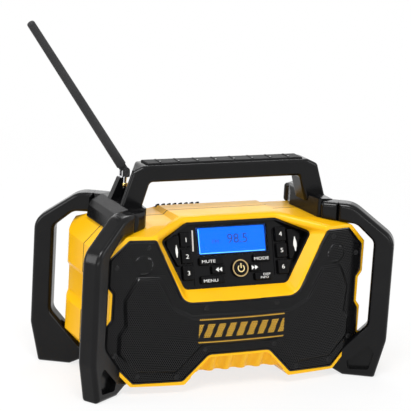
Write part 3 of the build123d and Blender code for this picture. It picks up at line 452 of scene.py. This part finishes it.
def distance_inside(x, z, polygon):
    """Signed distance to a polygon's edge, positive inside, for arrays of points."""
    inside = np.zeros(x.shape, bool)
    nearest = np.full(x.shape, np.inf)
    for (x0, z0), (x1, z1) in zip(polygon, polygon[1:] + polygon[:1]):
        dx, dz = x1 - x0, z1 - z0
        t = np.clip(((x - x0) * dx + (z - z0) * dz) / (dx * dx + dz * dz), 0, 1)
        nearest = np.minimum(nearest, np.hypot(x - x0 - t * dx, z - z0 - t * dz))
        if dz:
            crosses = ((z0 > z) != (z1 > z)) & (x < (z - z0) / dz * dx + x0)
            inside ^= crosses
    return np.where(inside, nearest, -nearest)


def smooth_step(t):
    t = np.clip(t, 0, 1)
    return t * t * (3 - 2 * t)


# ------------------------------------------------------------ perforated grille
GRILLE_SPAN_X = 160         # half the width that the rows of holes are laid over
GRILLE_SPAN_Z = 180         # height that they are laid over
HOLE_PITCH, HOLE_R = 2.3, 0.98
FIRST_ROW_Z = 8
EDGE_MARGIN = 0.4           # of a hole's middle, from the outline
HOLE_SIDES = 6
SHEET_OUT = 0.2             # the sheet's face stands this far out of the housing's front
SHEET_DEPTH = 0.9           # thickness seen in the holes
RELIEF = 3.2                # height of the raised speaker fields
SLOPE = 3.6                 # width of their sloping edges
BORDER_DROP, BORDER_WIDTH = 2.0, 3.4        # the sheet turns in at its border
FIELD_HALF = [              # the raised field over a speaker and the band that joins the two
    (0, 87.8), (60, 87.8), (82, 99), (99.5, 133), (124, 133), (136, 108), (133.5, 78.5),
    (140, 70), (140, 49), (118, 27.5), (75, 26), (47, 55.5), (0, 55.5),
]
FIELD_R = 4.0               # rounding of its corners in plan
BOSS_X, BOSS_Z, BOSS_R, BOSS_RELIEF = 117.5, 147.5, 10.5, 1.3       # raised disc over a tweeter
BOSS_SLOPE = 2.0
RIM_WIDTH = 1.3
RIM_DEPTHS = (1.0, 0.3, -0.2, 0.7)          # of its four corners, behind the housing's front
CLOTH_STEP = 5.0            # side of the cloth's faces
CLOTH_HEM = 0.5             # from the outline to the cloth's edge
CLOTH_SPAN_X, CLOTH_FOOT_Z = 165, 6.0
CLOTH_BEHIND = 1.2          # from the sheet's level to the cloth
CLOTH_FLOOR = 1.9           # the cloth stays in front of the housing's seat
GRILLE_BLACK = (0.009, 0.009, 0.0095)
GRILLE_GOLD = (0.72, 0.42, 0.05)
PAINT_X = 52.0              # half the width of the gold print
PAINT_LINES = [(58.3, 59.9), (84.3, 85.9)]
PAINT_BARS = (64.5, 79.5)   # a plain row of slanted bars between the lines
BAR_PITCH, BAR_SHARE, BAR_SLANT = 13.0, 0.6, 0.35
GRILLE_OUTLINE = rounded_outline(mirrored(GRILLE_HALF), GRILLE_RADII + GRILLE_RADII[::-1])


def grille_relief(x, z):
    """How far the sheet stands in front of its seat."""
    corners = mirrored(FIELD_HALF)
    field = distance_inside(x, z, rounded_outline(corners, [FIELD_R] * len(corners), 4))
    height = RELIEF * np.clip(field / SLOPE + 0.5, 0, 1)
    for side in (1, -1):
        r = np.hypot(x - side * BOSS_X, z - BOSS_Z)
        share = np.clip((BOSS_R + BOSS_SLOPE / 2 - r) / BOSS_SLOPE, 0, 1)
        height = np.maximum(height, BOSS_RELIEF * share)
    edge = distance_inside(x, z, GRILLE_OUTLINE)
    return height - BORDER_DROP * (1 - smooth_step(edge / BORDER_WIDTH))


def hole_middles():
    """Middles of the holes, in staggered rows inside the outline."""
    row = HOLE_PITCH * math.sqrt(3) / 2
    columns = int(GRILLE_SPAN_X / HOLE_PITCH) + 2
    spots = []
    for j in range(int(GRILLE_SPAN_Z / row) + 2):
        shift = 0.5 * (j % 2)
        for i in range(-columns, columns + 1):
            spots.append(((i + shift) * HOLE_PITCH, FIRST_ROW_Z + j * row))
    spots = np.array(spots)
    return spots[distance_inside(spots[:, 0], spots[:, 1], GRILLE_OUTLINE) > EDGE_MARGIN]


def make_sheet():
    """The perforated sheet: a cell of web round each hole, and the hole's wall."""
    spots = hole_middles()
    count = len(spots)
    turn = np.arange(HOLE_SIDES) * 2 * math.pi / HOLE_SIDES + math.pi / HOLE_SIDES
    around = np.stack([np.cos(turn), np.sin(turn)], 1)[None]
    cell = (spots[:, None, :] + HOLE_PITCH / math.sqrt(3) * around).reshape(-1, 2)
    hole = (spots[:, None, :] + HOLE_R * around).reshape(-1, 2)
    x, z = np.concatenate([cell, hole, hole]).T
    y = bow_y(x) - grille_relief(x, z) - SHEET_OUT
    ring = HOLE_SIDES * count
    y[2 * ring:] += SHEET_DEPTH
    verts = np.stack([x, y, z], 1)

    k = np.arange(HOLE_SIDES)
    base = HOLE_SIDES * np.arange(count)[:, None]
    a, b = base + k, base + (k + 1) % HOLE_SIDES
    web = np.stack([a, b, b + ring, a + ring], 2).reshape(-1, 4)
    faces = np.concatenate([web, web + ring])
    sheet = mesh_object("perforated_grille", verts.tolist(), faces.tolist(), "grille_paint")
    merge_points(sheet, 0.02)
    belongs(sheet, ROOT)
    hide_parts("speaker_grille")


def make_rim():
    """A plain folded rim round the sheet."""
    inner = [
        (p[0] - q[0], p[1] - q[1])
        for p, q in zip(GRILLE_OUTLINE, outline_normals(GRILLE_OUTLINE, RIM_WIDTH))
    ]
    rings = (GRILLE_OUTLINE, GRILLE_OUTLINE, inner, inner)
    verts = [(x, bow_y(x) + depth, z) for ring, depth in zip(rings, RIM_DEPTHS) for x, z in ring]
    n = len(GRILLE_OUTLINE)
    faces = []
    for r in range(len(rings) - 1):
        for i in range(n):
            j = (i + 1) % n
            faces.append((r * n + i, r * n + j, (r + 1) * n + j, (r + 1) * n + i))
    belongs(mesh_object("grille_rim", verts, faces, "grille_paint"), ROOT)


def make_cloth():
    """The black cloth behind the sheet, its border points drawn in to the outline."""
    nx, nz = int(CLOTH_SPAN_X / CLOTH_STEP), int(GRILLE_SPAN_Z / CLOTH_STEP)
    grid_i, grid_j = np.meshgrid(np.arange(-nx, nx + 1), np.arange(nz + 1), indexing="ij")
    x, z = grid_i.ravel() * CLOTH_STEP, CLOTH_FOOT_Z + grid_j.ravel() * CLOTH_STEP
    keep = (distance_inside(x, z, GRILLE_OUTLINE) > CLOTH_HEM).reshape(grid_i.shape)
    nudge = 0.05
    for _ in range(3):
        away = distance_inside(x, z, GRILLE_OUTLINE)
        slope_x = (distance_inside(x + nudge, z, GRILLE_OUTLINE) - away) / nudge
        slope_z = (distance_inside(x, z + nudge, GRILLE_OUTLINE) - away) / nudge
        short = np.maximum(CLOTH_HEM - away, 0)
        x, z = x + slope_x * short, z + slope_z * short
    y = bow_y(x) + np.minimum(CLOTH_BEHIND - grille_relief(x, z), CLOTH_FLOOR)
    index = np.arange(x.size).reshape(grid_i.shape)
    faces = []
    for i in range(2 * nx):
        for j in range(nz):
            if keep[i:i + 2, j:j + 2].any():
                corners = ((i, j), (i + 1, j), (i + 1, j + 1), (i, j + 1))
                faces.append([int(index[corner]) for corner in corners])
    verts = np.stack([x, y, z], 1).tolist()
    cloth = mesh_object("speaker_cloth", verts, faces, "speaker_cloth", smooth=True)
    merge_points(cloth, 0.05)
    belongs(cloth, ROOT)


def make_grille_paint():
    """Satin black paint, with a plain printed mark in gold between two thin lines."""
    mat = new_material("grille_paint", GRILLE_BLACK, 0.19, Specular_IOR_Level=0.34)
    split = node(mat, "ShaderNodeSeparateXYZ")
    link(mat, place(mat), split.inputs["Vector"])

    def calculate(operation, *values):
        """A math node; each value is a number or a node's output."""
        made = node(mat, "ShaderNodeMath", operation=operation)
        for socket, value in zip(made.inputs, values):
            if isinstance(value, (int, float)):
                socket.default_value = value
            else:
                link(mat, value, socket)
        return made.outputs[0]

    def between(source, low, high):
        """1 where the value lies between two limits in mm."""
        from_middle = calculate("SUBTRACT", source, (low + high) / 2 * MM)
        return calculate("LESS_THAN", calculate("ABSOLUTE", from_middle), (high - low) / 2 * MM)

    across, up = split.outputs["X"], split.outputs["Z"]
    width = between(across, -PAINT_X, PAINT_X)
    lines = calculate("MAXIMUM", *(between(up, *line) for line in PAINT_LINES))
    slanted = calculate("MULTIPLY_ADD", up, -BAR_SLANT, across)
    half_pitch = BAR_PITCH / 2 * MM
    half_bar = BAR_PITCH * BAR_SHARE / 2
    bars = between(calculate("WRAP", slanted, half_pitch, -half_pitch), -half_bar, half_bar)
    bars = calculate("MULTIPLY", bars, between(up, *PAINT_BARS))
    mask = calculate("MULTIPLY", width, calculate("MAXIMUM", lines, bars))
    two_colors(mat, GRILLE_BLACK, GRILLE_GOLD, mask)


make_grille_paint()
make_sheet()
make_rim()
make_cloth()


# ------------------------------------------------------------ marks on the panel
KEY_FACE = 4.0              # heights over the panel: the face of the keys,
ROCKER_FACE = 4.6           # of the rockers,
BUTTON_FACE = 4.4           # of the power button,
COLLAR_FACE = 3.0           # of its collar,
LCD_FACE = -1.88            # and of the display under its window
POWER_U, POWER_V = 5.5, 19.8
PRESET_V = (54.9, 36.6, 18.3)           # of the three rows of preset keys
PRESET_COLUMNS = (                      # first number, u, and how far the digit sits under v
    (1, -57.9, 0.6),
    (4, 58.0, 0.3),
)
KEY_WORDS = (                           # key, line on it, word, u, v, size, stretch
    ("mute_key", 0, "MUTE", -33.1, 29.2, 4.6, 1.42),
    ("menu_key", 0, "MENU", -32.3, 7.9, 4.6, 1.42),
    ("mode_key", 0, "MODE", 31.6, 28.9, 4.6, 1.42),
    ("display_key", 0, "DISP", 36.4, 11.1, 3.4, 1.4),
    ("display_key", 1, "INFO", 33.6, 7.7, 3.4, 1.3),
)
ARROWS = (("skip_back_key", -21.6, 19.8, -1), ("skip_forward_key", 22.6, 19.5, 1))
ARROW_LENGTH, ARROW_HALF_WIDTH = 3.8, 2.5
SPINDLES = (                            # rocker, u, v, length, width
    ("volume_rocker", -70.5, 42.6, 13.7, 3.0),
    ("tuning_rocker", 74.8, 42.7, 16.3, 4.3),
)
DISPLAY_WORDS = (                       # name, words, u, v, size, stretch
    ("display_figures", "98.5", 7.0, 53.0, 15.0, 1.0),
    ("display_band", "FM", -20.0, 50.7, 6.5, 1.1),
)
BARS = (                                # name, start, end, width, w, thickness, slot, material
    ("display_edge_side", (-40.0, 39.0), (-40.0, 65.5), 0.7, LCD_FACE, 0.1,
     "blue_display", "lcd_glow"),
    ("display_edge_foot", (-39.6, 38.6), (39.6, 38.6), 0.6, LCD_FACE, 0.1,
     "blue_display", "lcd_glow"),
    # a pale metal strip, a painted highlight along the left edge of the display's frame
    ("painted_highlight_bar", (-48.0, 64.8), (-49.0, 41.6), 1.7, 0.0, 0.5, "chrome_metal", "painted_highlight_silver"),
    ("rib_left", (-50.3, 3.5), (-50.3, 34.5), 0.9, 0.0, 0.7, "black_plastic", "key_black"),
    ("rib_right", (48.6, 10.0), (49.6, 61.0), 0.9, 0.0, 0.7, "black_plastic", "key_black"),
)


def letters(name, words, placement, size, body, material="mark_white"):
    """Printed letters, centred at the placement's origin and lying in its first two axes."""
    data = bpy.data.curves.new(name, "FONT")
    data.body = words
    data.size = size * MM
    data.align_x, data.align_y = "CENTER", "CENTER"
    data.extrude = 0.06 * MM
    data.resolution_u = 4
    obj = bpy.data.objects.new(name, data)
    bpy.context.scene.collection.objects.link(obj)
    bpy.context.view_layer.update()
    mesh = bpy.data.meshes.new_from_object(obj)
    made = bpy.data.objects.new(name, mesh)
    bpy.context.scene.collection.objects.link(made)
    bpy.data.objects.remove(obj)
    mesh.transform(placement)
    paint(made, material)
    belongs(made, body)


def panel_letters(name, words, u, v, w, size, body, material="mark_white", stretch=1.0):
    placement = Matrix.Translation(on_panel(u, v, w)) @ PANEL_TURN
    placement = placement @ Matrix.Diagonal((stretch, 1, 1, 1))
    letters(name, words, placement, size, body, material)


def panel_points(points, w, thick):
    """The points of a shape drawn in (u, v), at its lower and its upper face, in mm."""
    return [tuple(on_panel(u, v, w + t) / MM) for t in (0, thick) for u, v in points]


def flat_mark(name, points, w, body, material="mark_white", thick=0.12):
    """A printed shape on the panel, drawn in (u, v)."""
    n = len(points)
    faces = [tuple(range(n, 2 * n))]
    faces += [(i, (i + 1) % n, n + (i + 1) % n, n + i) for i in range(n)]
    made = mesh_object(name, panel_points(points, w, thick), faces, material)
    belongs(made, body)


def ring_mark(name, v, inner, outer, w, body, slot, material, start=0.0, sweep=360.0):
    """A printed ring or arc round (POWER_U, v); degrees from the top, clockwise."""
    steps = max(8, int(sweep / 8))
    points = []
    for radius, order in ((outer, range(steps + 1)), (inner, range(steps, -1, -1))):
        for k in order:
            a = math.radians(start + sweep * k / steps)
            points.append((POWER_U + radius * math.sin(a), v + radius * math.cos(a)))
    count = len(points)
    faces = []
    for k in range(steps):
        a, b, c, d = k, k + 1, count - 2 - k, count - 1 - k
        faces.append((count + a, count + b, count + c, count + d))
        faces.append((a, b, count + b, count + a))
        faces.append((c, d, count + d, count + c))
    if sweep < 360:
        faces.append((0, count, 2 * count - 1, count - 1))
        faces.append((steps, steps + 1, count + steps + 1, count + steps))
    made = mesh_object(name, panel_points(points, w, 0.15), faces, material)
    belongs(made, body)


def bar_mark(name, start, end, width, w, thick, body, slot, material):
    """A straight strip between two points of the panel."""
    a, b = Vector(start), Vector(end)
    side = (b - a).normalized()
    side = Vector((-side.y, side.x)) * width / 2
    points = [tuple(q) for q in (a + side, b + side, b - side, a - side)]
    flat_mark(name, points, w, body, material, thick)


def spindle(u, v, length, width):
    """A long shape that swells towards its middle."""
    half = []
    for k in range(12):
        t = k / 11
        swell = 0.22 + 0.78 * math.sin(math.pi * t) ** 1.6
        half.append((width / 2 * swell, (t - 0.5) * length))
    return [(u + a, v + b) for a, b in half] + [(u - a, v + b) for a, b in reversed(half)]


def make_key_marks():
    for i, v in enumerate(PRESET_V):
        for first, u, under in PRESET_COLUMNS:
            number = first + i
            panel_letters(f"digit_{number}", str(number), u, v - under, KEY_FACE, 6.8,
                          f"preset_key_{number}", stretch=1.2)
    for key, line, word, u, v, size, stretch in KEY_WORDS:
        panel_letters(f"word_{key}_{line}", word, u, v, KEY_FACE, size, key,
                      stretch=stretch)
    for key, u, v, way in ARROWS:
        for k, ahead in enumerate((-0.1, 4.0)):
            tip = u + way * ahead
            back = tip - way * ARROW_LENGTH
            points = [(tip, v), (back, v + ARROW_HALF_WIDTH), (back, v - ARROW_HALF_WIDTH)]
            flat_mark(f"arrow_{key}_{k}", points, KEY_FACE, key)
    for rocker, *form in SPINDLES:
        flat_mark(f"spindle_{rocker}", spindle(*form), ROCKER_FACE, rocker)


def make_power_marks():
    """The ring round the power button's collar and the symbol on its cap."""
    button = ("power_button", "key_black", "mark_cream")
    ring_mark("power_ring", POWER_V, 8.3, 9.7, COLLAR_FACE, ROOT, "brass_metal", "ring_gold")
    ring_mark("power_arc", POWER_V - 0.4, 3.2, 4.3, BUTTON_FACE, *button, start=38, sweep=284)
    bar_mark("power_stroke", (POWER_U, POWER_V), (POWER_U, POWER_V + 5.2), 1.2, BUTTON_FACE,
             0.15, *button)


def make_panel_marks():
    """The display's figures, its bright edges where the light comes in, a pale metal strip
    painted as a highlight along the display frame's left edge, and the panel's ribs.
    """
    for name, words, u, v, size, stretch in DISPLAY_WORDS:
        panel_letters(name, words, u, v, LCD_FACE, size, ROOT, "lcd_ink", stretch)
    for name, start, end, width, w, thick, slot, material in BARS:
        bar_mark(name, start, end, width, w, thick, ROOT, slot, material)


# ------------------------------------------------------------ marks on the socket plate
PLATE_Y = 66.5
LABEL_Z, LABEL_SIZE = 49.3, 3.0
REAR_TURN = Matrix(((-1, 0, 0), (0, 0, 1), (0, 1, 0))).to_4x4()     # read from behind
REAR_LABELS = (("label_dc", "DC IN", 72), ("label_aux", "AUX", 88))


def make_rear_labels():
    for name, words, x in REAR_LABELS:
        placement = Matrix.Translation(mm(x, PLATE_Y, LABEL_Z)) @ REAR_TURN
        letters(name, words, placement, LABEL_SIZE, ROOT)


# ------------------------------------------------------------ small parts
COLLAR_PROFILE = [(3.85, 0), (4.3, 0.3), (4.3, 4.3), (3.85, 4.7)]   # radius, height
COLLAR_PLACE = (-109, 14, 214.5)
STUD_PROFILE = [(1.0, 0), (1.0, 0.2), (0.75, 0.5), (0.4, 0.65), (0.0, 0.7)]
STUDS, STUD_PITCH, STUD_Y, STUD_Z = 8, 22.5, -12.5, 247.6
TRIM_X, TRIM_Z = 117.0, 148.0
TRIM_RADII, TRIM_BEHIND = (8.4, 10.4), 0.55     # it lies behind the housing's front
TRIM_STEPS = 36


def turned(name, profile, at, steps, material, body):
    """A ring or dome turned about an upright axis; profile is (radius, height), all in mm."""
    verts, faces = [], []
    n = len(profile)
    for k in range(steps):
        a = 2 * math.pi * k / steps
        for r, h in profile:
            verts.append((at[0] + r * math.cos(a), at[1] + r * math.sin(a), at[2] + h))
        for i in range(n - 1):
            a, b = k * n + i, (k + 1) % steps * n + i
            faces.append((a, b, b + 1, a + 1))
    made = mesh_object(name, verts, faces, material, smooth=True)
    merge_points(made, 0.001)
    belongs(made, body)


def tweeter_trim(side, word):
    """A tweeter's pale trim ring, seen through the grille."""
    verts, faces = [], []
    for k in range(TRIM_STEPS):
        a = 2 * math.pi * k / TRIM_STEPS
        for r in TRIM_RADII:
            x, z = side * TRIM_X + r * math.cos(a), TRIM_Z + r * math.sin(a)
            verts.append((x, bow_y(x) + TRIM_BEHIND, z))
        j = (k + 1) % TRIM_STEPS
        faces.append((2 * k, 2 * k + 1, 2 * j + 1, 2 * j))
    made = mesh_object(f"tweeter_trim_{word}", verts, faces, "trim_grey")
    belongs(made, ROOT)


def make_small_parts():
    turned("swivel_collar", COLLAR_PROFILE, COLLAR_PLACE, 28,
           "brass_metal", "antenna_turret")
    # a small stud at the front of each rib of the handle's insert, coloured pale grey as a
    # painted glint
    for i in range(STUDS):
        x = (i - (STUDS - 1) / 2) * STUD_PITCH
        turned(f"insert_stud_{i + 1}", STUD_PROFILE, (x, STUD_Y, STUD_Z), 12,
               "painted_glint_grey", ROOT)
    tweeter_trim(1, "right")
    tweeter_trim(-1, "left")


make_key_marks()
make_power_marks()
make_panel_marks()
make_rear_labels()
make_small_parts()
